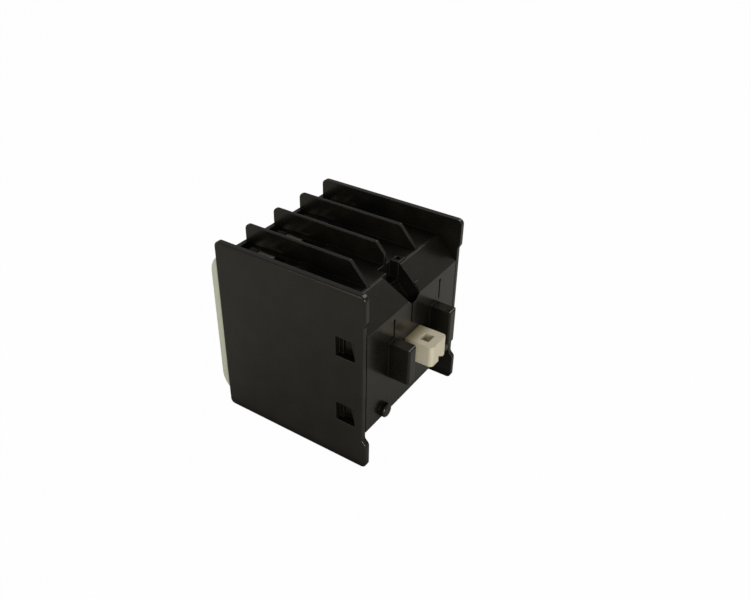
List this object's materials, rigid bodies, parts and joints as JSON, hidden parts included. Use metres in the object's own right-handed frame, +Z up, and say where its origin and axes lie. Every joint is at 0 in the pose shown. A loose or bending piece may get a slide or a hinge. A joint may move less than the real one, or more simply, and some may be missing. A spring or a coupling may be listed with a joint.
{
  "type": "auxiliary contact block",
  "caption": "Front-mounted auxiliary contact block: boxy dark housing with thin partition fins between screw terminals, pale cover, sprung slider and hook tabs behind.",
  "frame": {"origin": "where the slider's axis crosses the flat mounting face", "axes": "+X across the width, +Y out of the mounting side along the slider's axis, +Z up as it hangs on a panel"},
  "size_m": [0.044, 0.0519, 0.049],
  "materials": {
    "black_plastic": "matt",
    "grey_plastic": "matt",
    "cream_plastic": "satin",
    "brass": "stamped",
    "contact_silver": "satin",
    "spring_steel": "drawn wire",
    "zinc_plated_steel": "zinc plated"
  },
  "bodies": {
    "housing": {"housing": "black_plastic", "rear_base": "black_plastic", "front_cover": "grey_plastic", "fixed_tips": "contact_silver", "return_spring_left": "spring_steel", "return_spring_right": "spring_steel", "terminal_strip_top_1": "brass", "terminal_strip_top_2": "brass", "terminal_strip_top_3": "brass", "terminal_strip_top_4": "brass", "terminal_strip_bottom_1": "brass", "terminal_strip_bottom_2": "brass", "terminal_strip_bottom_3": "brass", "terminal_strip_bottom_4": "brass"},
    "slider": {"slider": "cream_plastic", "moving_tips": "contact_silver", "bridge_1": "brass", "bridge_2": "brass", "bridge_3": "brass", "bridge_4": "brass", "contact_spring_1": "spring_steel", "contact_spring_2": "spring_steel", "contact_spring_3": "spring_steel", "contact_spring_4": "spring_steel"},
    "clamp_top_1": {"terminal_screw_top_1": "zinc_plated_steel", "saddle_top_1": "zinc_plated_steel"},
    "clamp_top_2": {"terminal_screw_top_2": "zinc_plated_steel", "saddle_top_2": "zinc_plated_steel"},
    "clamp_top_3": {"terminal_screw_top_3": "zinc_plated_steel", "saddle_top_3": "zinc_plated_steel"},
    "clamp_top_4": {"terminal_screw_top_4": "zinc_plated_steel", "saddle_top_4": "zinc_plated_steel"},
    "clamp_bottom_1": {"terminal_screw_bottom_1": "zinc_plated_steel", "saddle_bottom_1": "zinc_plated_steel"},
    "clamp_bottom_2": {"terminal_screw_bottom_2": "zinc_plated_steel", "saddle_bottom_2": "zinc_plated_steel"},
    "clamp_bottom_3": {"terminal_screw_bottom_3": "zinc_plated_steel", "saddle_bottom_3": "zinc_plated_steel"},
    "clamp_bottom_4": {"terminal_screw_bottom_4": "zinc_plated_steel", "saddle_bottom_4": "zinc_plated_steel"}
  },
  "joints": [
    {"name": "slider_travel", "type": "slide", "parent": "housing", "child": "slider", "axis": [0, 1, 0], "range_m": [0, 0.004], "stiffness_N_per_m": 250, "springref_m": -0.003, "deforming": ["return_spring_left", "return_spring_right"]},
    {"name": "tighten_top_1", "type": "slide", "parent": "housing", "child": "clamp_top_1", "axis": [0, 1, 0], "range_m": [0, 0.0025]},
    {"name": "tighten_top_2", "type": "slide", "parent": "housing", "child": "clamp_top_2", "axis": [0, 1, 0], "range_m": [0, 0.0025]},
    {"name": "tighten_top_3", "type": "slide", "parent": "housing", "child": "clamp_top_3", "axis": [0, 1, 0], "range_m": [0, 0.0025]},
    {"name": "tighten_top_4", "type": "slide", "parent": "housing", "child": "clamp_top_4", "axis": [0, 1, 0], "range_m": [0, 0.0025]},
    {"name": "tighten_bottom_1", "type": "slide", "parent": "housing", "child": "clamp_bottom_1", "axis": [0, 1, 0], "range_m": [0, 0.0025]},
    {"name": "tighten_bottom_2", "type": "slide", "parent": "housing", "child": "clamp_bottom_2", "axis": [0, 1, 0], "range_m": [0, 0.0025]},
    {"name": "tighten_bottom_3", "type": "slide", "parent": "housing", "child": "clamp_bottom_3", "axis": [0, 1, 0], "range_m": [0, 0.0025]},
    {"name": "tighten_bottom_4", "type": "slide", "parent": "housing", "child": "clamp_bottom_4", "axis": [0, 1, 0], "range_m": [0, 0.0025]}
  ]
}
